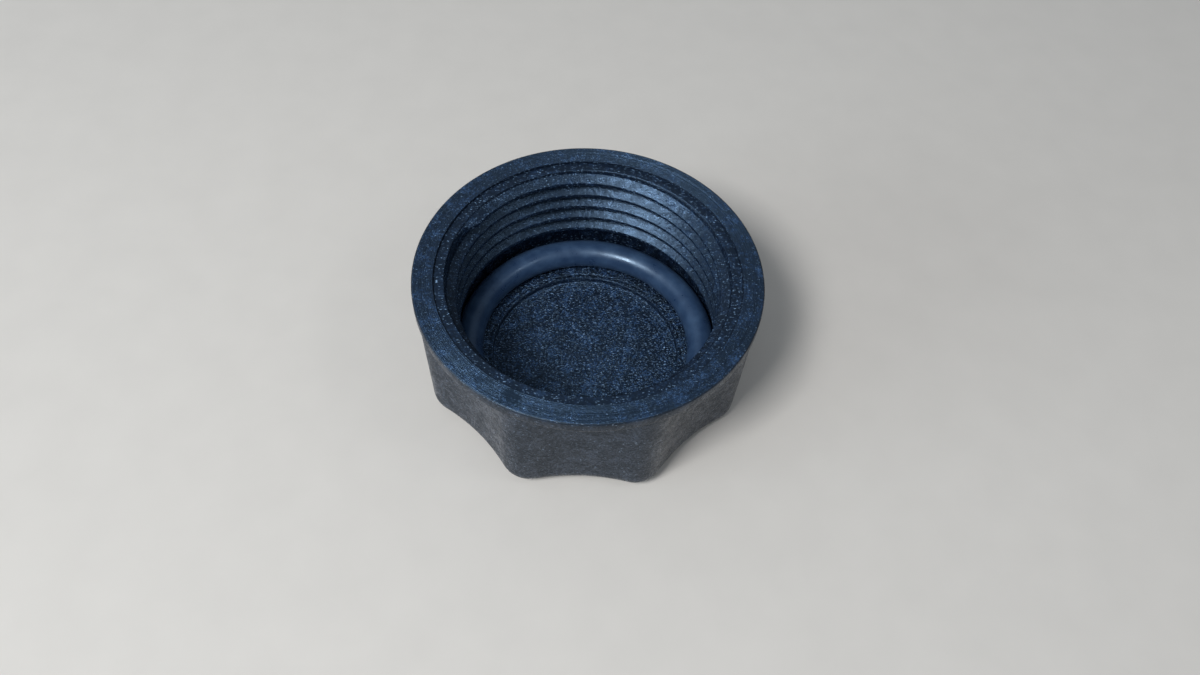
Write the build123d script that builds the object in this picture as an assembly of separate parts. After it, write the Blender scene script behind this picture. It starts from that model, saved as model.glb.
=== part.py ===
from build123d import *
from math import atan2, cos, degrees, radians, sin, sqrt, tan
import os

# Oil filler cap: a screw cap moulded in one piece, with a rubber sealing ring in its floor.
# Millimetres. The cap stands on its head, so the threaded mouth opens along +Z.
# The origin is on the cap's axis, at the flat face of its head.

# Internal thread: one right-hand ridge that stands in from the bore wall
thread_crest_radius = 23.55
thread_height = 1.65
thread_pitch = 3.175
thread_crest_land = 0.65
thread_flank_angle = 30.0
thread_start_angle = 165.0
thread_start_depth = 1.85
thread_lead_in_angle = 15.0
thread_start_step = 0.05
thread_face_depth = 0.85
thread_end_depth = 15.5

# Witness lines on the thread's crests, where the segments of the moulding core meet
core_line_count = 4
core_line_angle = 52.0
core_line_width = 0.15
core_line_depth = 0.06

# Rim face and mouth
mouth_ledge_width = 2.0
rim_step_drop = 0.5
rim_step_round = 0.15
mouth_chamfer = 0.25

# Cap height and the round flange at its mouth
cap_height = 27.0
flange_height = 2.5
flange_overhang = 0.25
rim_edge_round = 0.35
flange_underside_round = 0.6

# Grip: lobes with hollows between them, drawn halfway up the flange
lobe_count = 8
hollow_wall = 2.6
hollow_depth = 2.95
lobe_round = 6.0
grip_draft_angle = 1.6
head_edge_round = 3.7

# Seal chamber under the thread, and the floor with its shallow round recess
chamber_relief = 0.1
head_thickness = 3.1
floor_corner_round = 0.6
floor_recess_radius = 17.85
floor_recess_depth = 1.2

# Sealing ring
ring_section = 5.33
ring_wall_clearance = 0.43
ring_seat_clearance = 0.05

# Stock that the ridge is joined to and cut back from, and room for the cuts to run out
ridge_foot_overlap = 0.2
ridge_crest_stock = 0.25
cut_margin = 2.0

ON_BASE = (Align.CENTER, Align.CENTER, Align.MIN)
thread_root_radius = thread_crest_radius + thread_height
chamber_radius = thread_root_radius + chamber_relief
rim_step_radius = thread_root_radius + mouth_ledge_width
hollow_radius = thread_root_radius + hollow_wall
lobe_tip_radius = hollow_radius + hollow_depth
rim_radius = lobe_tip_radius + flange_overhang
grip_top_z = cap_height - flange_height / 2
mouth_z = cap_height - rim_step_drop
thread_face_z = cap_height - thread_face_depth
thread_start_z = cap_height - thread_start_depth
thread_end_z = cap_height - thread_end_depth
floor_z = head_thickness
recess_floor_z = head_thickness - floor_recess_depth


def lobed_face(tip_radius, valley_radius, tip_round):
    """The grip's section: lobe arcs that run tangent into the hollows' arcs."""
    pitch_angle = 360 / lobe_count
    lobe_centre_radius = tip_radius - tip_round
    lobe_x = lobe_centre_radius * cos(radians(pitch_angle / 2))
    lobe_y = lobe_centre_radius * sin(radians(pitch_angle / 2))
    gap_x = lobe_x - valley_radius
    hollow_round = (gap_x**2 + lobe_y**2 - tip_round**2) / (2 * (tip_round + gap_x))
    hollow_x = valley_radius + hollow_round
    turn = atan2(lobe_y, lobe_x - hollow_x)
    join = Vector(hollow_x + hollow_round * cos(turn), hollow_round * sin(turn))
    join_angle = degrees(atan2(join.Y, join.X))
    arcs = []
    for index in range(lobe_count):
        middle = index * pitch_angle
        before = Vector(join.length, 0).rotate(Axis.Z, middle - join_angle)
        bottom = Vector(valley_radius, 0).rotate(Axis.Z, middle)
        after = Vector(join.length, 0).rotate(Axis.Z, middle + join_angle)
        tip = Vector(tip_radius, 0).rotate(Axis.Z, middle + pitch_angle / 2)
        following = Vector(join.length, 0).rotate(Axis.Z, middle + pitch_angle - join_angle)
        arcs.append(ThreePointArc(before, bottom, after))
        arcs.append(ThreePointArc(after, tip, following))
    return make_face(Wire(arcs))


def grip_block():
    """The solid grip, narrower towards the head, with the head's edge rounded."""
    section = lobed_face(lobe_tip_radius, hollow_radius, lobe_round)
    block = extrude(Plane.XY.offset(grip_top_z) * section, amount=-grip_top_z, taper=grip_draft_angle)
    head_face = block.faces().sort_by(Axis.Z)[0]
    return fillet(head_face.edges(), head_edge_round)


def flange_disc():
    """The round flange, with its rim edge and its underside edge rounded."""
    disc = Pos(Z=cap_height - flange_height) * Cylinder(rim_radius, flange_height, align=ON_BASE)
    disc = fillet(disc.edges().sort_by(Axis.Z)[-1], rim_edge_round)
    return fillet(disc.edges().filter_by(GeomType.CIRCLE).sort_by(Axis.Z)[0], flange_underside_round)


def bore_cut():
    """The turned space in the cap: recess, chamber, bore at the crests, chamfer and rim step."""
    top_z = cap_height + cut_margin
    chamfer_radius = thread_root_radius + mouth_chamfer
    step_rim_radius = rim_step_radius + rim_step_round
    floor_line = Polyline(
        (0, top_z),
        (0, recess_floor_z),
        (floor_recess_radius, recess_floor_z),
        (floor_recess_radius, floor_z),
        (chamber_radius - floor_corner_round, floor_z),
    )
    floor_corner = TangentArc(
        floor_line @ 1, (chamber_radius, floor_z + floor_corner_round), tangent=(1, 0)
    )
    wall_line = Polyline(
        floor_corner @ 1,
        (chamber_radius, thread_end_z),
        (thread_crest_radius, thread_end_z),
        (thread_crest_radius, thread_face_z),
        (chamfer_radius - (mouth_z - thread_face_z), thread_face_z),
        (chamfer_radius, mouth_z),
        (rim_step_radius, mouth_z),
        (rim_step_radius, cap_height - rim_step_round),
    )
    step_edge = TangentArc(wall_line @ 1, (step_rim_radius, cap_height), tangent=(0, 1))
    top_line = Polyline(step_edge @ 1, (step_rim_radius, top_z), (0, top_z))
    outline = [floor_line, floor_corner, wall_line, step_edge, top_line]
    edges = [edge for piece in outline for edge in piece.edges()]
    return revolve(Plane.XZ * make_face(Wire(edges)), Axis.Z)


def thread_ridge():
    """The thread's ridge, with stock at its crest, from its start down past the chamber's top."""
    slope = tan(radians(thread_flank_angle))
    stock_radius = thread_crest_radius - ridge_crest_stock
    half_stock = thread_crest_land / 2 - ridge_crest_stock * slope
    foot_radius = thread_root_radius + ridge_foot_overlap
    half_foot = half_stock + (foot_radius - stock_radius) * slope
    profile = Polyline(
        (stock_radius, -half_stock),
        (foot_radius, -half_foot),
        (foot_radius, half_foot),
        (stock_radius, half_stock),
        close=True,
    )
    height = thread_start_z - thread_end_z + half_foot
    path = Helix(thread_pitch, height, thread_root_radius)
    ridge = sweep(Plane.XZ * make_face(profile), path=path, is_frenet=True)
    last_angle = thread_start_angle - 360 * height / thread_pitch
    return Pos(Z=thread_start_z - height) * Rot(Z=last_angle) * ridge


def lead_in_cut():
    """An upright round cutter beside the axis, which fades the ridge out at its start."""
    reach = thread_root_radius - thread_start_step
    gap = reach - thread_crest_radius * cos(radians(thread_lead_in_angle))
    offset = (reach**2 - thread_crest_radius**2) / (2 * gap)
    base_z = thread_start_z - thread_pitch / 2
    cutter = Cylinder(reach - offset, cap_height + cut_margin - base_z, align=ON_BASE)
    return Rot(Z=thread_start_angle) * Pos(X=offset, Z=base_z) * cutter


def core_lines():
    """Thin upright cuts that leave the core's witness lines on the crests."""
    base_z = thread_end_z - cut_margin
    cutter = Box(
        core_line_depth + cut_margin,
        core_line_width,
        cap_height - base_z,
        align=(Align.MAX, Align.CENTER, Align.MIN),
    )
    cutter = Pos(X=thread_crest_radius + core_line_depth, Z=base_z) * cutter
    spacing = 360 / core_line_count
    return [Rot(Z=core_line_angle + index * spacing) * cutter for index in range(core_line_count)]


def cap_body():
    """The whole moulding: bored to the thread's root, given its ridge, then bored to the crests."""
    root_bore_height = thread_end_depth + 2 * cut_margin
    root_bore = Cylinder(thread_root_radius, root_bore_height, align=ON_BASE)
    crest_bore = Cylinder(thread_crest_radius, cap_height, align=ON_BASE)
    body = grip_block() + flange_disc() - Pos(Z=thread_end_z - cut_margin) * root_bore
    body += thread_ridge()
    body -= Pos(Z=floor_z) * crest_bore
    body -= core_lines()
    return body - lead_in_cut() - bore_cut()


def sealing_ring():
    """The rubber ring, lying on the floor just inside the chamber's wall."""
    centre_radius = chamber_radius - ring_wall_clearance - ring_section / 2
    centre_z = floor_z + ring_seat_clearance + ring_section / 2
    return Pos(Z=centre_z) * Torus(centre_radius, ring_section / 2)


os.makedirs("parts", exist_ok=True)
export_step(cap_body(), "parts/cap_body.step")
export_step(sealing_ring(), "parts/sealing_ring.step")
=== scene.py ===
"""An open oil filler cap, standing on its head with its threaded mouth up."""

import logging
from collections.abc import Callable, Iterable
from dataclasses import dataclass, field
from enum import Enum
from math import atan2, cos, hypot, pi, radians, sin, sqrt, tan

import bmesh
import bpy
from mathutils import Matrix, Vector

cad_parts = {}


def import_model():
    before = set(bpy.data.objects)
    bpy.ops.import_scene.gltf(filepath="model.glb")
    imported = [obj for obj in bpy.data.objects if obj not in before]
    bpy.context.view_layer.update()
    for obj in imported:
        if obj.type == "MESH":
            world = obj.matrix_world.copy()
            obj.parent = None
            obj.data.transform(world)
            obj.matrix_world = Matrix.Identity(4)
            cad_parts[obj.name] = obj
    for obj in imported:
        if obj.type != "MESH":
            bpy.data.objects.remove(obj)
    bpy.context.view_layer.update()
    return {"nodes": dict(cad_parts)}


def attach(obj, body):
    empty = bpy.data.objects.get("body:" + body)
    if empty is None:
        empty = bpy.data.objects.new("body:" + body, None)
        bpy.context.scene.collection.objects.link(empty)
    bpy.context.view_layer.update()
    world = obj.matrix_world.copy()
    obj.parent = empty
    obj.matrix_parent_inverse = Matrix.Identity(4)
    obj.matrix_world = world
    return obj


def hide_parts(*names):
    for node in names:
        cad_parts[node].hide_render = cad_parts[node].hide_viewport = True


log = logging.getLogger("oil_filler_cap")

MM = 0.001
BODY = "root"
Colour = tuple[float, float, float]
ProfilePoint = tuple[float, float]


class Zone(Enum):
    """The parts of the moulding's surface that differ in finish, and in painted light and shade."""

    GRIP = 0
    RIM = 1
    BORE = 2
    FLOOR = 3
    # Painted shade: a darker, duller nylon on the step's inward wall and the mouth's edge, where shade
    # falls.
    CREASE = 4


# Finishes: the shader nodes of each surface


class NodeSheet:
    """Adds and links shader nodes in one material."""

    def __init__(self, name: str) -> None:
        """Starts a material whose tree holds only a surface shader and its output.

        Args:
            name: The material's name.
        """
        self.material = bpy.data.materials.new(name)
        self.material.use_nodes = True
        self.tree = self.material.node_tree
        self.shader = self.tree.nodes["Principled BSDF"]
        self.coordinates = self.add("ShaderNodeTexCoord")

    def add(self, kind: str, **settings: object) -> bpy.types.Node:
        """Adds a node.

        Args:
            kind: The node's type name.
            settings: Values for the node's own properties.

        Returns:
            The new node.
        """
        node = self.tree.nodes.new(kind)
        for key, value in settings.items():
            setattr(node, key, value)
        return node

    def join(self, source: bpy.types.NodeSocket, target: bpy.types.NodeSocket) -> None:
        """Links one socket to another."""
        self.tree.links.new(source, target)

    def place(self, stretch: float = 1.0, turn: float = 0.0) -> bpy.types.NodeSocket:
        """Gives the point's place on the piece.

        Args:
            stretch: How much longer than wide a pattern becomes.
            turn: The direction of its length, in degrees from X.

        Returns:
            The place.
        """
        if stretch == 1.0:
            return self.coordinates.outputs["Object"]
        mapping = self.add("ShaderNodeMapping")
        mapping.inputs["Rotation"].default_value = (0.0, 0.0, radians(-turn))
        mapping.inputs["Scale"].default_value = (1.0 / stretch, 1.0, 1.0)
        self.join(self.coordinates.outputs["Object"], mapping.inputs["Vector"])
        return mapping.outputs["Vector"]

    def noise(
        self,
        grain_mm: float,
        detail: float,
        roughness: float = 0.5,
        stretch: float = 1.0,
        turn: float = 0.0,
    ) -> bpy.types.NodeSocket:
        """Adds soft random variation.

        Args:
            grain_mm: The size of one patch.
            detail: How many finer layers it has.
            roughness: How strong the finer layers are.
            stretch: How much longer than wide a patch is.
            turn: The direction of its length, in degrees from X.

        Returns:
            The variation, from 0 to 1.
        """
        node = self.add("ShaderNodeTexNoise")
        node.inputs["Scale"].default_value = 1.0 / (grain_mm * MM)
        node.inputs["Detail"].default_value = detail
        node.inputs["Roughness"].default_value = roughness
        self.join(self.place(stretch, turn), node.inputs["Vector"])
        return node.outputs["Fac"]

    def remap(
        self, source: bpy.types.NodeSocket, low: float, high: float, to_low: float, to_high: float
    ) -> bpy.types.NodeSocket:
        """Maps one range of values onto another, and clamps what falls outside.

        Args:
            source: The values to map.
            low: The value that becomes to_low.
            high: The value that becomes to_high.
            to_low: The result at low.
            to_high: The result at high.

        Returns:
            The mapped values.
        """
        node = self.add("ShaderNodeMapRange")
        self.join(source, node.inputs["Value"])
        for name, value in zip(("From Min", "From Max", "To Min", "To Max"), (low, high, to_low, to_high)):
            node.inputs[name].default_value = value
        return node.outputs["Result"]

    def ramp(self, source: bpy.types.NodeSocket, stops: list[tuple[float, Colour]]) -> bpy.types.NodeSocket:
        """Turns values into colours.

        Args:
            source: Values from 0 to 1.
            stops: Each colour with the value that it belongs to.

        Returns:
            The colour.
        """
        node = self.add("ShaderNodeValToRGB")
        elements = node.color_ramp.elements
        while len(elements) < len(stops):
            elements.new(0.5)
        for element, (position, colour) in zip(elements, stops):
            element.position = position
            element.color = (*colour, 1.0)
        self.join(source, node.inputs["Fac"])
        return node.outputs["Color"]

    def blend(
        self, share: bpy.types.NodeSocket, first: bpy.types.NodeSocket, second: Colour
    ) -> bpy.types.NodeSocket:
        """Blends a colour over another.

        Args:
            share: How much of the second colour shows.
            first: The colour underneath.
            second: The colour on top.

        Returns:
            The blended colour.
        """
        node = self.add("ShaderNodeMix", data_type="RGBA")
        self.join(share, node.inputs[0])
        self.join(first, node.inputs[6])
        node.inputs[7].default_value = (*second, 1.0)
        return node.outputs[2]

    def math(
        self, operation: str, first: bpy.types.NodeSocket, second: bpy.types.NodeSocket | float
    ) -> bpy.types.NodeSocket:
        """Combines two values.

        Args:
            operation: The operation's name.
            first: The first value.
            second: The second value.

        Returns:
            The result.
        """
        node = self.add("ShaderNodeMath", operation=operation)
        self.join(first, node.inputs[0])
        if isinstance(second, float):
            node.inputs[1].default_value = second
        else:
            self.join(second, node.inputs[1])
        return node.outputs[0]

    def axis_distance(self) -> bpy.types.NodeSocket:
        """Gives the point's distance from the cap's axis.

        Returns:
            The distance in metres.
        """
        flat = self.add("ShaderNodeVectorMath", operation="MULTIPLY")
        flat.inputs[1].default_value = (1.0, 1.0, 0.0)
        self.join(self.place(), flat.inputs[0])
        length = self.add("ShaderNodeVectorMath", operation="LENGTH")
        self.join(flat.outputs[0], length.inputs[0])
        return length.outputs["Value"]

    def bump(self, height: bpy.types.NodeSocket, depth_mm: float) -> None:
        """Gives the surface a fine relief.

        Args:
            height: The relief, from 0 to 1.
            depth_mm: The relief's depth.
        """
        node = self.add("ShaderNodeBump")
        node.inputs["Strength"].default_value = 1.0
        node.inputs["Distance"].default_value = depth_mm * MM
        self.join(height, node.inputs["Height"])
        self.join(node.outputs["Normal"], self.shader.inputs["Normal"])


@dataclass(frozen=True)
class Smudge:
    """A dirty or scratched spot, by its direction and its distance from the axis."""

    angle: float
    radius_mm: float
    size_mm: float
    strength: float
    pale: bool = False

    def place(self, height_mm: float) -> Vector:
        """The spot's middle, in metres."""
        turn = radians(self.angle)
        return Vector((self.radius_mm * cos(turn), self.radius_mm * sin(turn), height_mm)) * MM


@dataclass(frozen=True)
class NylonFinish:
    """Black glass-filled nylon, as one zone of the moulding shows it. Its blue tones and blue specular tint
    are partly painted reflection of sky light on near-black nylon.
    """

    name: str
    # Partly painted reflection: the blue in these tones and in the tint stands in for sky light; the nylon
    # itself is near black.
    shade: Colour = (0.0012, 0.003, 0.008)
    body: Colour = (0.005, 0.011, 0.026)
    bloom: Colour = (0.034, 0.066, 0.128)
    # The pale fleck colour: glass filler, and partly painted glints.
    fibre_and_glint: Colour = (0.28, 0.44, 0.66)
    tint: Colour = (0.48, 0.70, 1.0)
    gloss: float = 0.7
    shade_at: float = 0.44
    body_at: float = 0.51
    bloom_at: float = 0.60
    patch_mm: float = 2.4
    patch_roughness: float = 0.62
    patch_share: float = 0.36
    fleck_mm: float = 0.24
    fleck_stretch: float = 2.2
    fleck_from: float = 0.63
    fleck_fade: float = 0.10
    fleck_turns: tuple[float, float] = (14.0, -58.0)
    fleck_strength: float = 0.6
    smooth_roughness: float = 0.22
    rough_roughness: float = 0.48
    rough_at: float = 0.43
    smooth_at: float = 0.58
    grain_mm: float = 0.46
    grain_roughness: float = 0.72
    grain_depth_mm: float = 0.10
    layers: float = 4.0
    ior: float = 1.53
    patch_depth_mm: float = 0.0
    turned_pitch_mm: float = 0.0
    turned_depth_mm: float = 0.0
    smudges: tuple[Smudge, ...] = ()
    smudge_z_mm: float = 27.0
    smudge_core: float = 0.45
    smudge_ragged: float = 5.0

    def build(self) -> bpy.types.Material:
        """Makes the material.

        Returns:
            The material.
        """
        sheet = NodeSheet(self.name)
        patches = sheet.noise(self.patch_mm, self.layers, self.patch_roughness)
        grain = sheet.noise(self.grain_mm, self.layers, self.grain_roughness)
        mixed = sheet.math(
            "ADD",
            sheet.math("MULTIPLY", patches, self.patch_share),
            sheet.math("MULTIPLY", grain, 1.0 - self.patch_share),
        )
        tone = sheet.ramp(
            mixed,
            [(self.shade_at, self.shade), (self.body_at, self.body), (self.bloom_at, self.bloom)],
        )
        # Partly painted glints: pale flecks for the glass filler and for glints that the light would give.
        tone = sheet.blend(self.fibre_and_glint_flecks(sheet), tone, self.fibre_and_glint)
        rough = sheet.remap(
            mixed, self.rough_at, self.smooth_at, self.rough_roughness, self.smooth_roughness
        )
        for smudge in self.smudges:
            spot = self.spot(sheet, smudge, mixed)
            tone = sheet.blend(spot, tone, self.fibre_and_glint if smudge.pale else self.shade)
            rough = sheet.math("MAXIMUM", rough, spot)
        sheet.join(tone, sheet.shader.inputs["Base Color"])
        sheet.join(rough, sheet.shader.inputs["Roughness"])
        sheet.shader.inputs["IOR"].default_value = self.ior
        sheet.shader.inputs["Specular IOR Level"].default_value = self.gloss
        sheet.shader.inputs["Specular Tint"].default_value = (*self.tint, 1.0)
        self.relief(sheet, grain, patches)
        return sheet.material

    def relief(
        self, sheet: NodeSheet, grain: bpy.types.NodeSocket, patches: bpy.types.NodeSocket
    ) -> None:
        """Adds the fine relief: grain, soft swells and turned rings, each by its depth.

        Args:
            sheet: The material being made.
            grain: The fine variation.
            patches: The coarse variation.
        """
        layers = [(grain, self.grain_depth_mm)]
        if self.patch_depth_mm > 0.0:
            layers.append((patches, self.patch_depth_mm))
        if self.turned_depth_mm > 0.0:
            layers.append((self.turned(sheet), self.turned_depth_mm))
        whole = sum(depth for _, depth in layers)
        parts = [sheet.math("MULTIPLY", layer, depth / whole) for layer, depth in layers]
        height = parts[0]
        for part in parts[1:]:
            height = sheet.math("ADD", height, part)
        sheet.bump(height, whole)

    def fibre_and_glint_flecks(self, sheet: NodeSheet) -> bpy.types.NodeSocket:
        """Adds the pale flecks where glass filler lies at the surface, in two directions; they are partly
        painted glints.

        Args:
            sheet: The material being made.

        Returns:
            Where a fleck shows, from 0 to the flecks' strength.
        """
        full_at = self.fleck_from + self.fleck_fade
        layers = []
        for turn in self.fleck_turns:
            grain = sheet.noise(self.fleck_mm, 1.0, 0.5, self.fleck_stretch, turn)
            layers.append(sheet.remap(grain, self.fleck_from, full_at, 0.0, self.fleck_strength))
        return sheet.math("MAXIMUM", layers[0], layers[1])

    def spot(
        self, sheet: NodeSheet, smudge: Smudge, ragged: bpy.types.NodeSocket
    ) -> bpy.types.NodeSocket:
        """Marks a smudge with a ragged edge.

        Args:
            sheet: The material being made.
            smudge: The spot's place, size and strength.
            ragged: The variation that breaks up its edge.

        Returns:
            How much of the smudge shows, from 0 to 1.
        """
        away = sheet.add("ShaderNodeVectorMath", operation="DISTANCE")
        sheet.join(sheet.place(), away.inputs[0])
        away.inputs[1].default_value = smudge.place(self.smudge_z_mm)
        size = smudge.size_mm * MM
        edge = sheet.math("MULTIPLY", sheet.math("ADD", ragged, -0.5), size * self.smudge_ragged)
        reach = sheet.math("ADD", away.outputs["Value"], edge)
        return sheet.remap(reach, size * self.smudge_core, size, smudge.strength, 0.0)

    def turned(self, sheet: NodeSheet) -> bpy.types.NodeSocket:
        """Adds fine rings about the axis, as a turned mould face leaves them.

        Args:
            sheet: The material being made.

        Returns:
            The rings' relief, from 0 to 1.
        """
        steps = sheet.math("MULTIPLY", sheet.axis_distance(), 1.0 / (self.turned_pitch_mm * MM))
        along = sheet.add("ShaderNodeTexNoise", noise_dimensions="1D")
        along.inputs["Scale"].default_value = 1.0
        along.inputs["Detail"].default_value = 1.0
        sheet.join(steps, along.inputs["W"])
        return along.outputs["Fac"]


@dataclass(frozen=True)
class RubberFinish:
    """Smooth satin black nitrile rubber with a faint layer of dust, and painted sheen: its blue base and
    patch tones stand in partly for sky light.
    """

    name: str
    # Painted sheen: the blue in these tones stands in for sky light on the rubber; the lighter patches are
    # partly dust.
    body: Colour = (0.022, 0.047, 0.104)
    dust_and_sheen: Colour = (0.042, 0.082, 0.158)
    tint: Colour = (0.62, 0.80, 1.0)
    gloss: float = 0.8
    film_mm: float = 3.0
    film_from: float = 0.40
    film_to: float = 0.70
    roughness_low: float = 0.27
    roughness_high: float = 0.40
    grain_mm: float = 0.25
    grain_depth_mm: float = 0.008
    ior: float = 1.52

    def build(self) -> bpy.types.Material:
        """Makes the material.

        Returns:
            The material.
        """
        sheet = NodeSheet(self.name)
        dust_and_sheen = sheet.noise(self.film_mm, 4.0, 0.6)
        tone = sheet.ramp(dust_and_sheen, [(self.film_from, self.body), (self.film_to, self.dust_and_sheen)])
        sheet.join(tone, sheet.shader.inputs["Base Color"])
        sheet.join(
            sheet.remap(dust_and_sheen, 0.35, 0.65, self.roughness_low, self.roughness_high),
            sheet.shader.inputs["Roughness"],
        )
        sheet.shader.inputs["IOR"].default_value = self.ior
        sheet.shader.inputs["Specular IOR Level"].default_value = self.gloss
        sheet.shader.inputs["Specular Tint"].default_value = (*self.tint, 1.0)
        sheet.bump(sheet.noise(self.grain_mm, 2.0), self.grain_depth_mm)
        return sheet.material


@dataclass(frozen=True)
class GroundFinish:
    """A plain pale ground with a faint warm tint."""

    name: str
    colour: Colour = (0.62, 0.575, 0.53)
    mottle_mm: float = 9.0
    mottle_shade: float = 0.97
    roughness: float = 0.85

    def build(self) -> bpy.types.Material:
        """Makes the material.

        Returns:
            The material.
        """
        sheet = NodeSheet(self.name)
        darker = tuple(share * self.mottle_shade for share in self.colour)
        tone = sheet.ramp(sheet.noise(self.mottle_mm, 3.0), [(0.3, darker), (0.7, self.colour)])
        sheet.join(tone, sheet.shader.inputs["Base Color"])
        sheet.shader.inputs["Roughness"].default_value = self.roughness
        return sheet.material


# Shapes: the outline, the thread and the moulding around them


@dataclass(frozen=True)
class LobedOutline:
    """The grip's outline: round lobes that run tangent into wide hollows."""

    tip_radius: float = 30.75
    hollow_radius: float = 27.8
    lobe_round: float = 6.0
    lobes: int = 8

    def radius(self, angle: float, inset: float) -> float:
        """Gives the outline's distance from the axis.

        Args:
            angle: The direction, with a hollow's middle at zero.
            inset: How far inside the outline the wanted line runs.

        Returns:
            The distance in millimetres.
        """
        half = pi / self.lobes
        lobe_centre = self.tip_radius - self.lobe_round
        lobe_x, lobe_y = lobe_centre * cos(half), lobe_centre * sin(half)
        gap = lobe_x - self.hollow_radius
        hollow_round = (gap**2 + lobe_y**2 - self.lobe_round**2) / (2 * (self.lobe_round + gap))
        hollow_centre = self.hollow_radius + hollow_round
        lobe, hollow = self.lobe_round - inset, hollow_round + inset
        share = lobe / (lobe + hollow)
        join = atan2(lobe_y * (1 - share), lobe_x + (hollow_centre - lobe_x) * share)
        turn = abs((angle + half) % (2 * half) - half)
        if turn < join:
            return hollow_centre * cos(turn) - sqrt(hollow**2 - (hollow_centre * sin(turn)) ** 2)
        turn = half - turn
        return lobe_centre * cos(turn) + sqrt(lobe**2 - (lobe_centre * sin(turn)) ** 2)


@dataclass(frozen=True)
class ThreadForm:
    """The internal thread: one right-hand ridge, and how it fades in at its start."""

    root_radius: float = 25.2
    crest_radius: float = 23.55
    pitch: float = 3.175
    land: float = 0.65
    flank_angle: float = 30.0
    start_angle: float = 165.0
    start_z: float = 25.15
    lead_in_angle: float = 15.0
    edge_round: float = 0.13
    edge_segments: int = 3

    def profile(self) -> list[ProfilePoint]:
        """Draws the line of one pitch of the bore's wall.

        Returns:
            Its points, as distance from the axis and height from the ridge's middle.
        """
        half_land = self.land / 2
        half_foot = half_land + (self.root_radius - self.crest_radius) * tan(radians(self.flank_angle))
        return [
            (self.root_radius, -self.pitch / 2),
            (self.root_radius, -half_foot),
            (self.crest_radius, -half_land),
            (self.crest_radius, half_land),
            (self.root_radius, half_foot),
            (self.root_radius, self.pitch / 2),
        ]

    def turns_below_start(self, angle: float, height: float) -> float:
        """Tells how far along the ridge a point lies.

        Args:
            angle: The point's direction.
            height: The point's height.

        Returns:
            Degrees from the start, positive down the ridge.
        """
        start = radians(self.start_angle)
        ridge_z = self.start_z + self.pitch * (angle - start) / (2 * pi)
        turn = round((height - ridge_z) / self.pitch)
        return self.start_angle - (angle + 2 * pi * turn) * 180 / pi

    def faded(self, radius: float, angle: float, height: float) -> float:
        """Gives a point's distance from the axis once the start is faded in.

        Args:
            radius: The distance on the full ridge.
            angle: The point's direction.
            height: The point's height.

        Returns:
            The distance in millimetres.
        """
        past = self.turns_below_start(angle, height)
        if past >= self.lead_in_angle:
            return radius
        if past <= 0.0:
            return self.root_radius
        lead = self.lead_in_angle
        gap = self.root_radius - self.crest_radius * cos(radians(lead))
        offset = (self.root_radius**2 - self.crest_radius**2) / (2 * gap)
        cutter = self.root_radius - offset
        turn = radians(past)
        reach = offset * cos(turn) + sqrt(cutter**2 - (offset * sin(turn)) ** 2)
        return max(radius, reach)


class RingBuilder:
    """Grows a skin about the axis from an open ring of vertices, one ring at a time."""

    def __init__(self, bm: bmesh.types.BMesh, ring: list[bmesh.types.BMVert]) -> None:
        """Starts from an open ring.

        Args:
            bm: The mesh, with a float layer named angle on its vertices.
            ring: The open ring's vertices.
        """
        self.bm = bm
        self.layer = bm.verts.layers.float["angle"]
        self.ring = ring
        for vert in ring:
            vert[self.layer] = atan2(vert.co.y, vert.co.x)
        found = set(ring)
        self.edges = [e for e in bm.edges if e.is_boundary and set(e.verts) <= found]

    def add_ring(self, radius_of: Callable[[float], float], height: float) -> None:
        """Grows a ring on a line about the axis.

        Args:
            radius_of: The distance from the axis at each angle, in millimetres.
            height: The ring's height in millimetres.
        """
        made = bmesh.ops.extrude_edge_only(self.bm, edges=self.edges)["geom"]
        self.ring = [g for g in made if isinstance(g, bmesh.types.BMVert)]
        found = set(self.ring)
        self.edges = [g for g in made if isinstance(g, bmesh.types.BMEdge) and set(g.verts) <= found]
        for vert in self.ring:
            angle = vert[self.layer]
            radius = radius_of(angle)
            vert.co = Vector((radius * cos(angle), radius * sin(angle), height)) * MM

    def add_round(self, radius: float, height: float) -> None:
        """Grows a ring on a circle."""
        self.add_ring(lambda _angle: radius, height)

    def close(self) -> None:
        """Draws the last ring together at the axis."""
        centre = Vector((0.0, 0.0, self.ring[0].co.z))
        bmesh.ops.pointmerge(self.bm, verts=self.ring, merge_co=centre)


def arc_points(
    centre: ProfilePoint, radius: float, start: float, end: float, steps: int
) -> list[ProfilePoint]:
    """Gives the points of a rounded corner.

    Args:
        centre: The arc's centre.
        radius: The arc's radius.
        start: The first point's direction in degrees.
        end: The last point's direction in degrees.
        steps: How many pieces the arc has.

    Returns:
        The points from start to end.
    """
    turns = [radians(start + (end - start) * i / steps) for i in range(steps + 1)]
    return [(centre[0] + radius * cos(t), centre[1] + radius * sin(t)) for t in turns]


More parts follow.
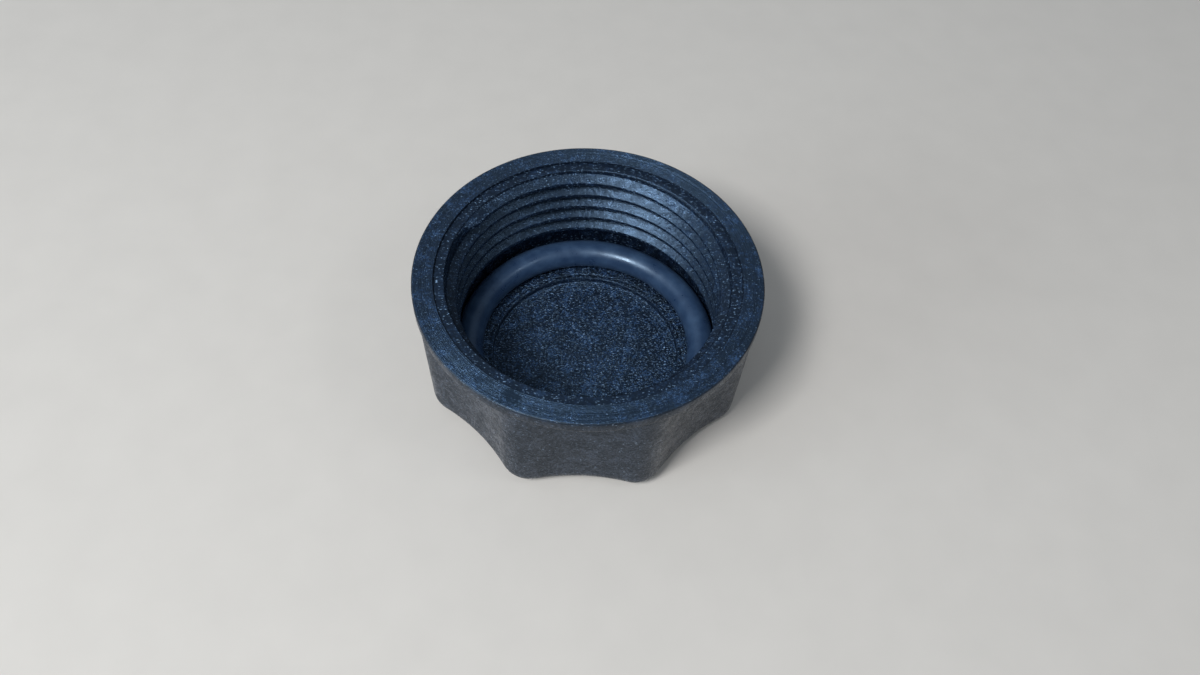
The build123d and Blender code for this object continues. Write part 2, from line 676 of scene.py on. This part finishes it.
@dataclass
class CapMoulding:
    """The cap's one moulding: lobed grip, flange, bore, thread and floor, in millimetres."""

    outline: LobedOutline = field(default_factory=LobedOutline)
    thread: ThreadForm = field(default_factory=ThreadForm)
    columns: int = 320
    thread_turns: int = 7
    height: float = 27.0
    rim_radius: float = 31.0
    rim_edge_round: float = 0.35
    flange_height: float = 2.5
    underside_round: float = 0.6
    draft_angle: float = 1.6
    head_edge_round: float = 3.7
    step_radius: float = 27.2
    step_drop: float = 0.5
    mouth_radius: float = 25.45
    thread_face_z: float = 26.15
    thread_end_z: float = 11.5
    chamber_radius: float = 25.3
    floor_z: float = 3.1
    floor_corner_round: float = 0.6
    recess_radius: float = 17.85
    recess_depth: float = 1.2
    mouth_round: float = 0.14
    step_foot_round: float = 0.12
    step_edge_round: float = 0.15
    recess_edge_round: float = 0.12
    recess_foot_round: float = 0.2
    thread_end_lip: float = 0.08
    ledge_rings: tuple[float, ...] = (25.75, 26.2, 26.9)
    rim_rings: tuple[float, ...] = (27.7, 28.6, 29.6, 30.45)
    grip_heights: tuple[float, ...] = (23.6, 21.0, 18.0, 15.0, 12.0, 9.0, 6.0)
    head_edge_steps: int = 12
    head_rings: tuple[float, ...] = (20.5, 18.0, 14.0, 9.0, 4.0, 1.0)
    wall_heights: tuple[float, ...] = (10.4, 9.0, 7.5, 6.0, 4.6)
    floor_rings: tuple[float, ...] = (23.6, 22.4, 21.2, 20.2, 19.4)
    groove_line: tuple[ProfilePoint, ...] = (
        (18.92, 0.0),
        (18.84, 0.05),
        (18.74, 0.05),
        (18.66, 0.0),
        (18.2, 0.0),
    )
    fine_rings: tuple[float, ...] = (17.3, 16.75, 16.2, 15.65)
    fine_ring_width: float = 0.2
    fine_ring_drop: float = 0.035
    disc_rings: tuple[float, ...] = (14.6, 13.0, 11.0, 9.0, 7.0, 5.0, 3.0, 1.2)
    cut_snap: float = 0.0005
    weld_reach: float = 0.002
    sharp_angle: float = 38.0
    # Painted shade: these bounds mark the step's wall and the mouth's edge that get the darker, duller
    # nylon.
    step_band: tuple[float, float] = (-0.13, 0.06)
    recess_band: tuple[float, float] = (-0.05, 0.15)
    shaded_crease_z: float = 26.4
    core_lines: int = 4
    core_line_angle: float = 52.0
    core_line_width: float = 0.15
    core_line_depth: float = 0.07
    smudges: tuple[Smudge, ...] = (
        Smudge(-127.0, 29.0, 2.0, 0.8),
        Smudge(-115.0, 29.2, 2.3, 0.95),
        Smudge(14.0, 29.6, 2.6, 0.5),
        Smudge(22.0, 29.4, 2.6, 0.6),
        Smudge(98.0, 29.2, 1.5, 0.6),
    )
    scratches: tuple[Smudge, ...] = (
        Smudge(-174.1, 26.6, 0.19, 0.9, pale=True),
        Smudge(-173.5, 26.6, 0.19, 0.9, pale=True),
        Smudge(-179.9, 26.3, 0.13, 0.7, pale=True),
        Smudge(174.6, 26.3, 0.14, 0.7, pale=True),
    )
    pin_mark: Smudge = Smudge(-145.4, 10.3, 0.7, 0.9)

    def inset_at(self, height: float) -> float:
        """The draft's inset at a height, from the outline halfway up the flange."""
        return (self.height - self.flange_height / 2 - height) * tan(radians(self.draft_angle))

    def build(self) -> bpy.types.Object:
        """Builds the moulding and dresses it.

        Returns:
            The finished piece.
        """
        bm = self.thread_strip()
        log.info("thread: %d faces", len(bm.faces))
        upper = RingBuilder(bm, self.open_ring(bm, self.thread_face_z))
        self.skin_mouth_and_rim(upper)
        self.skin_flange(upper)
        self.skin_grip_and_head(upper)
        upper.close()
        lower = RingBuilder(bm, self.open_ring(bm, self.thread_end_z))
        self.skin_chamber_and_floor(lower)
        lower.close()
        log.info("edges left open: %d", sum(1 for e in bm.edges if e.is_boundary))
        bmesh.ops.recalc_face_normals(bm, faces=bm.faces)
        mesh = bpy.data.meshes.new("moulded_cap")
        bm.to_mesh(mesh)
        bm.free()
        piece = bpy.data.objects.new("moulded_cap", mesh)
        bpy.context.scene.collection.objects.link(piece)
        self.dress(piece)
        return piece

    @staticmethod
    def open_ring(bm: bmesh.types.BMesh, height: float) -> list[bmesh.types.BMVert]:
        """Finds the open edge's vertices at a height.

        Args:
            bm: The mesh.
            height: The height in millimetres.

        Returns:
            The vertices.
        """
        reach = CapMoulding.weld_reach
        return [v for v in bm.verts if v.is_boundary and abs(v.co.z / MM - height) < reach]

    def skin_mouth_and_rim(self, rings: RingBuilder) -> None:
        """Grows the mouth's edge, the ledge, the step and the rim face.

        Args:
            rings: The skin that grows.
        """
        ledge, mouth = self.height - self.step_drop, self.mouth_round
        foot, edge = self.step_foot_round, self.step_edge_round
        rings.add_round(self.thread.root_radius + 0.03, self.thread_face_z + 0.08)
        for radius, height in arc_points((self.mouth_radius + 0.06, ledge - mouth), mouth, 165.0, 90.0, 3):
            rings.add_round(radius, height)
        for radius in self.ledge_rings:
            rings.add_round(radius, ledge)
        for radius, height in arc_points((self.step_radius - foot, ledge + foot), foot, -90.0, 0.0, 2):
            rings.add_round(radius, height)
        corner = (self.step_radius + edge, self.height - edge)
        for radius, height in arc_points(corner, edge, 180.0, 90.0, 3):
            rings.add_round(radius, height)
        for radius in self.rim_rings:
            rings.add_round(radius, self.height)

    def skin_flange(self, rings: RingBuilder) -> None:
        """Grows the flange's rounded edges and its side.

        Args:
            rings: The skin that grows.
        """
        rim = self.rim_edge_round
        corner = (self.rim_radius - rim, self.height - rim)
        for radius, height in arc_points(corner, rim, 90.0, 0.0, 5):
            rings.add_round(radius, height)
        base, under = self.height - self.flange_height, self.underside_round
        corner = (self.rim_radius - under, base + under)
        for radius, height in arc_points(corner, under, 0.0, -90.0, 5):
            inset = self.inset_at(height)
            rings.add_ring(lambda a, r=radius, i=inset: max(r, self.outline.radius(a, i) + 0.01), height)

    def skin_grip_and_head(self, rings: RingBuilder) -> None:
        """Grows the lobed side, the head's rounded edge and the flat head.

        Args:
            rings: The skin that grows.
        """
        for height in (self.height - self.flange_height, *self.grip_heights):
            inset = self.inset_at(height)
            rings.add_ring(lambda a, i=inset: self.outline.radius(a, i), height)
        edge = self.head_edge_round
        slope = radians(self.draft_angle)
        centre = self.inset_at(edge) + edge / cos(slope)
        for index in range(self.head_edge_steps + 1):
            turn = -slope + (pi / 2 + slope) * index / self.head_edge_steps
            inset = centre - edge * cos(turn)
            rings.add_ring(lambda a, i=inset: self.outline.radius(a, i), edge - edge * sin(turn))
        for radius in self.head_rings:
            rings.add_round(radius, 0.0)

    def skin_chamber_and_floor(self, rings: RingBuilder) -> None:
        """Grows the seal chamber's wall, the floor and its recess, down to the middle.

        Args:
            rings: The skin that grows.
        """
        wall, floor_z = self.chamber_radius, self.floor_z
        lip_z = self.thread_end_z - self.thread_end_lip
        for height in (self.thread_end_z, lip_z, *self.wall_heights):
            rings.add_ring(self.wall_radius, height)
        corner = self.floor_corner_round
        for radius, height in arc_points((wall - corner, floor_z + corner), corner, 0.0, -90.0, 5):
            rings.add_round(radius, height)
        for radius in self.floor_rings:
            rings.add_round(radius, floor_z)
        for radius, drop in self.groove_line:
            rings.add_round(radius, floor_z - drop)
        edge, recess = self.recess_edge_round, self.recess_radius
        for radius, height in arc_points((recess + edge, floor_z - edge), edge, 90.0, 180.0, 3):
            rings.add_round(radius, height)
        low, foot = floor_z - self.recess_depth, self.recess_foot_round
        for radius, height in arc_points((recess - foot, low + foot), foot, 0.0, -90.0, 3):
            rings.add_round(radius, height)
        for start in self.fine_rings:
            for share, drop in ((0.0, 0.0), (0.5, self.fine_ring_drop), (1.0, 0.0)):
                rings.add_round(start - share * self.fine_ring_width, low - drop)
        for radius in self.disc_rings:
            rings.add_round(radius, low)

    def wall_radius(self, angle: float) -> float:
        """Gives the chamber wall's distance from the axis, with the core's witness lines.

        Args:
            angle: The direction.

        Returns:
            The distance in millimetres.
        """
        spacing = 2 * pi / self.core_lines
        off = (angle - radians(self.core_line_angle) + spacing / 2) % spacing - spacing / 2
        on_line = abs(off) * self.chamber_radius < self.core_line_width / 4
        return self.chamber_radius + (self.core_line_depth if on_line else 0.0)

    def mark_core_lines(self, bm: bmesh.types.BMesh) -> None:
        """Presses the core's witness lines into the thread's crests.

        Args:
            bm: The threaded wall.
        """
        crest = (self.thread.crest_radius + 0.05) * MM
        for index in range(self.core_lines // 2):
            turn = radians(self.core_line_angle + index * 360 / self.core_lines)
            across = Vector((-sin(turn), cos(turn), 0.0))
            for share in (-0.5, 0.0, 0.5):
                bmesh.ops.bisect_plane(
                    bm,
                    geom=[*bm.verts, *bm.edges, *bm.faces],
                    dist=self.cut_snap * MM,
                    plane_co=across * share * self.core_line_width * MM,
                    plane_no=across,
                )
            for vert in bm.verts:
                radius = hypot(vert.co.x, vert.co.y)
                if radius < crest and abs(vert.co.dot(across)) < 0.001 * MM:
                    grown = 1.0 + self.core_line_depth * MM / radius
                    vert.co.x, vert.co.y = vert.co.x * grown, vert.co.y * grown

    def thread_strip(self) -> bmesh.types.BMesh:
        """Spins one pitch of the thread's line up the bore, and fades its start in.

        Returns:
            The threaded wall between the chamber and the mouth.
        """
        form = self.thread
        bm = bmesh.new()
        bm.verts.layers.float.new("angle")
        line = form.profile()
        first_z = form.start_z - form.pitch * (5 + form.start_angle / 360)
        verts = [bm.verts.new((r * MM, 0.0, (first_z + z) * MM)) for r, z in line]
        for pair in zip(verts, verts[1:]):
            bm.edges.new(pair)
        bmesh.ops.bevel(
            bm,
            geom=verts[1:-1],
            offset=form.edge_round * MM,
            offset_type="OFFSET",
            segments=form.edge_segments,
            profile=0.5,
            affect="VERTICES",
            material=-1,
        )
        bmesh.ops.spin(
            bm,
            geom=[*bm.verts, *bm.edges],
            cent=(0.0, 0.0, 0.0),
            axis=(0.0, 0.0, 1.0),
            dvec=(0.0, 0.0, form.pitch / self.columns * MM),
            angle=2 * pi,
            steps=self.columns,
            use_merge=False,
            use_duplicate=False,
        )
        one_turn = [*bm.verts, *bm.edges, *bm.faces]
        for turn in range(1, self.thread_turns):
            copied = bmesh.ops.duplicate(bm, geom=one_turn)["geom"]
            raised = [item for item in copied if isinstance(item, bmesh.types.BMVert)]
            bmesh.ops.translate(bm, verts=raised, vec=(0.0, 0.0, turn * form.pitch * MM))
        bmesh.ops.remove_doubles(bm, verts=bm.verts, dist=self.weld_reach * MM)
        for vert in bm.verts:
            angle = atan2(vert.co.y, vert.co.x)
            radius = form.faded(hypot(vert.co.x, vert.co.y) / MM, angle, vert.co.z / MM)
            vert.co.x, vert.co.y = radius * cos(angle) * MM, radius * sin(angle) * MM
        for height, keep in ((self.thread_face_z, -1.0), (self.thread_end_z, 1.0)):
            bmesh.ops.bisect_plane(
                bm,
                geom=[*bm.verts, *bm.edges, *bm.faces],
                dist=self.cut_snap * MM,
                plane_co=(0.0, 0.0, height * MM),
                plane_no=(0.0, 0.0, -keep),
                clear_outer=True,
            )
        self.mark_core_lines(bm)
        return bm

    def zone(self, centre: Vector, normal: Vector) -> Zone:
        """Tells which finish a face has.

        Args:
            centre: The face's middle.
            normal: The way that the face looks.

        Returns:
            The zone that it belongs to.
        """
        radius, height = hypot(centre.x, centre.y) / MM, centre.z / MM
        outward = (centre.x * normal.x + centre.y * normal.y) / (radius * MM)
        past_step, past_recess = radius - self.step_radius, radius - self.recess_radius
        at_step = self.step_band[0] < past_step < self.step_band[1]
        at_recess = self.recess_band[0] < past_recess < self.recess_band[1]
        at_mouth = self.thread_face_z < height < self.shaded_crease_z and radius < self.mouth_radius + 0.02
        if height > self.height - 0.01 and past_step > 0.0:
            return Zone.RIM
        # Painted shade: the step's inward wall and the mouth's edge get the darker, duller nylon.
        if at_step and height > self.shaded_crease_z and outward < -0.3:
            return Zone.CREASE
        if at_mouth and outward < -0.5:
            return Zone.CREASE
        if outward > 0.1 and past_recess > 0.0 or normal.z < -0.9 and height < 1.0:
            return Zone.GRIP
        if at_recess and height < self.floor_z - 0.005:
            return Zone.BORE
        if radius < self.chamber_radius - 1.0 and height < self.floor_z + 0.1:
            return Zone.FLOOR
        return Zone.BORE

    def finishes(self) -> dict[Zone, NylonFinish]:
        """Gives each zone's nylon. The tones differ by zone partly as painted light and shade: the
        up-facing rim and floor are lighter and bluer, the bore and the grip's side darker.

        Returns:
            The finishes by zone.
        """
        return {
            # Partly painted shade and reflection: the side's darker, greyer tones and paler tint.
            Zone.GRIP: NylonFinish(
                "nylon_grip",
                shade=(0.005, 0.007, 0.012),
                body=(0.007, 0.011, 0.020),
                bloom=(0.016, 0.026, 0.048),
                fibre_and_glint=(0.36, 0.46, 0.60),
                tint=(0.60, 0.79, 1.0),
                gloss=0.44,
                grain_depth_mm=0.05,
                rough_roughness=0.52,
                fleck_from=0.69,
                fleck_strength=0.5,
            ),
            # Partly painted reflection: lighter, bluer tones and tint for sky light on the up-facing rim.
            Zone.RIM: NylonFinish(
                "nylon_rim",
                body=(0.004, 0.009, 0.023),
                bloom=(0.029, 0.064, 0.142),
                tint=(0.38, 0.64, 1.0),
                gloss=1.0,
                bloom_at=0.63,
                patch_depth_mm=0.06,
                patch_share=0.42,
                fleck_mm=0.20,
                grain_depth_mm=0.13,
                turned_pitch_mm=0.14,
                turned_depth_mm=0.19,
                fleck_from=0.67,
                smudges=self.smudges,
            ),
            # Partly painted shade: darker tones inside the bore.
            Zone.BORE: NylonFinish(
                "nylon_bore",
                body=(0.003, 0.006, 0.015),
                bloom=(0.014, 0.029, 0.062),
                tint=(0.42, 0.66, 1.0),
                gloss=0.75,
                patch_mm=1.6,
                patch_share=0.5,
                patch_depth_mm=0.17,
                grain_depth_mm=0.07,
                fleck_from=0.67,
                smooth_roughness=0.19,
                rough_roughness=0.42,
                smudges=self.scratches,
                smudge_z_mm=self.height - self.step_drop,
            ),
            # Partly painted light: lighter, bluer tones for light on the floor.
            Zone.FLOOR: NylonFinish(
                "nylon_floor",
                shade=(0.0006, 0.0015, 0.004),
                body=(0.003, 0.007, 0.018),
                bloom=(0.034, 0.073, 0.160),
                tint=(0.42, 0.66, 1.0),
                gloss=0.95,
                grain_mm=0.40,
                grain_depth_mm=0.22,
                fleck_from=0.64,
                fleck_strength=0.8,
                smooth_roughness=0.13,
                rough_roughness=0.31,
                smudges=(self.pin_mark,),
                smudge_z_mm=self.floor_z - self.recess_depth,
            ),
            # Painted shade: darker tones and little gloss where shade falls at the step and the mouth.
            Zone.CREASE: NylonFinish(
                "nylon_crease_painted_shade",
                body=(0.002, 0.004, 0.010),
                bloom=(0.006, 0.012, 0.026),
                gloss=0.2,
                grain_depth_mm=0.03,
                fleck_strength=0.2,
                rough_roughness=0.6,
            ),
        }

    def dress(self, piece: bpy.types.Object) -> None:
        """Gives each zone its finish, and the mesh its smooth and sharp edges.

        Args:
            piece: The moulding.
        """
        finishes = self.finishes()
        for zone in Zone:
            piece.data.materials.append(finishes[zone].build())
        for face in piece.data.polygons:
            face.use_smooth = True
            face.material_index = self.zone(face.center, face.normal).value
        piece.data.set_sharp_from_angle(angle=radians(self.sharp_angle))
        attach(piece, BODY)
        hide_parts("cap_body")


@dataclass
class SealingRing:
    """The rubber ring on the floor."""

    finish: RubberFinish = field(default_factory=lambda: RubberFinish("seal_rubber"))

    def dress(self, node: bpy.types.Object) -> None:
        """Gives the ring its rubber.

        Args:
            node: The ring's solid.
        """
        node.data.materials.clear()
        node.data.materials.append(self.finish.build())


# The set: camera, lamps and floor


@dataclass(frozen=True)
class PhotoCamera:
    """The camera at the photograph's angle."""

    focal_mm: float = 30.9
    sensor_mm: float = 36.0
    tilt: float = 54.60
    roll: float = 3.84
    turn: float = -2.07
    place_radii: tuple[float, float, float] = (0.087, -3.676, 4.547)
    rim_radius_mm: float = 31.0
    rim_z_mm: float = 27.0
    clip_start_m: float = 0.005

    def build(self) -> None:
        """Places the camera and makes it the scene's own."""
        tilt, roll = radians(self.tilt), radians(self.roll)
        forward = Vector((0.0, cos(tilt), -sin(tilt)))
        right, up = Vector((1.0, 0.0, 0.0)), Vector((0.0, sin(tilt), cos(tilt)))
        x_axis = cos(roll) * right + sin(roll) * up
        y_axis = -sin(roll) * right + cos(roll) * up
        turn = Matrix.Rotation(radians(self.turn), 3, "Z")
        axes = [turn @ v for v in (x_axis, y_axis, -forward)]
        place = turn @ Vector(self.place_radii) * self.rim_radius_mm * MM
        place.z += self.rim_z_mm * MM
        lens = bpy.data.cameras.new("camera")
        lens.lens = self.focal_mm
        lens.sensor_width = self.sensor_mm
        lens.sensor_fit = "HORIZONTAL"
        lens.clip_start = self.clip_start_m
        lens.dof.use_dof = False
        camera = bpy.data.objects.new("camera", lens)
        camera.matrix_world = Matrix(
            [[axes[c][r] for c in range(3)] + [place[r]] for r in range(3)] + [[0.0, 0.0, 0.0, 1.0]]
        )
        bpy.context.scene.collection.objects.link(camera)
        bpy.context.scene.camera = camera


@dataclass(frozen=True)
class SoftLamp:
    """A square soft lamp that looks at the cap."""

    name: str
    place_m: tuple[float, float, float]
    size_m: float
    power_w: float
    colour: Colour
    aim_z_m: float = 0.015

    def build(self) -> None:
        """Hangs the lamp."""
        data = bpy.data.lights.new(self.name, "AREA")
        data.shape = "SQUARE"
        data.size = self.size_m
        data.energy = self.power_w
        data.color = self.colour
        lamp = bpy.data.objects.new(self.name, data)
        aim = Vector((0.0, 0.0, self.aim_z_m)) - Vector(self.place_m)
        facing = aim.to_track_quat("-Z", "Y").to_matrix().to_4x4()
        lamp.matrix_world = Matrix.Translation(self.place_m) @ facing
        bpy.context.scene.collection.objects.link(lamp)


@dataclass
class Studio:
    """The plain pale floor and the soft light."""

    lamps: tuple[SoftLamp, ...] = (
        SoftLamp("window_lamp", (-0.231, -0.276, 0.495), 0.16, 2.75, (0.95, 0.98, 1.0)),
        SoftLamp("side_lamp", (-0.72, -0.32, 0.14), 0.45, 4.0, (0.80, 0.92, 1.0)),
        SoftLamp("fill_lamp", (0.347, -0.126, 0.473), 0.12, 0.22, (0.90, 0.96, 1.0)),
    )
    room_colour: Colour = (0.80, 0.90, 1.0)
    room_bright: float = 0.50
    room_dim: float = 0.18
    window_azimuth: float = -145.0
    floor_size_m: float = 3.0

    def build(self) -> None:
        """Lays the floor, hangs the lamps and lights the room."""
        self.lay_floor()
        for lamp in self.lamps:
            lamp.build()
        self.light_room()

    def lay_floor(self) -> None:
        """Lays the floor."""
        bm = bmesh.new()
        bmesh.ops.create_grid(bm, x_segments=2, y_segments=2, size=self.floor_size_m / 2)
        mesh = bpy.data.meshes.new("floor")
        bm.to_mesh(mesh)
        bm.free()
        floor = bpy.data.objects.new("floor", mesh)
        floor.data.materials.append(GroundFinish("pale_ground").build())
        bpy.context.scene.collection.objects.link(floor)

    def light_room(self) -> None:
        """Makes the soft room, which is brighter towards the window."""
        world = bpy.data.worlds.new("soft_room")
        world.use_nodes = True
        nodes, links = world.node_tree.nodes, world.node_tree.links
        backdrop = nodes["Background"]
        backdrop.inputs["Color"].default_value = (*self.room_colour, 1.0)
        direction = nodes.new("ShaderNodeTexCoord")
        facing = nodes.new("ShaderNodeVectorMath")
        facing.operation = "DOT_PRODUCT"
        turn = radians(self.window_azimuth)
        facing.inputs[1].default_value = (cos(turn), sin(turn), 0.0)
        links.new(direction.outputs["Generated"], facing.inputs[0])
        level = nodes.new("ShaderNodeMapRange")
        links.new(facing.outputs["Value"], level.inputs["Value"])
        level.inputs["From Min"].default_value = -1.0
        level.inputs["To Min"].default_value = self.room_dim
        level.inputs["To Max"].default_value = self.room_bright
        links.new(level.outputs["Result"], backdrop.inputs["Strength"])
        bpy.context.scene.world = world


def main() -> None:
    """Builds the cap, its surroundings and the camera in order."""
    logging.basicConfig(level=logging.INFO, format="%(name)s: %(message)s")
    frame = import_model()
    bpy.context.scene.view_settings.view_transform = "Standard"
    PhotoCamera().build()
    log.info("camera placed")
    moulding = CapMoulding().build()
    log.info("%s: %d faces", moulding.name, len(moulding.data.polygons))
    SealingRing().dress(frame["nodes"]["sealing_ring"])
    log.info("sealing_ring dressed")
    Studio().build()
    log.info("studio built")


if __name__ == "__main__":
    main()
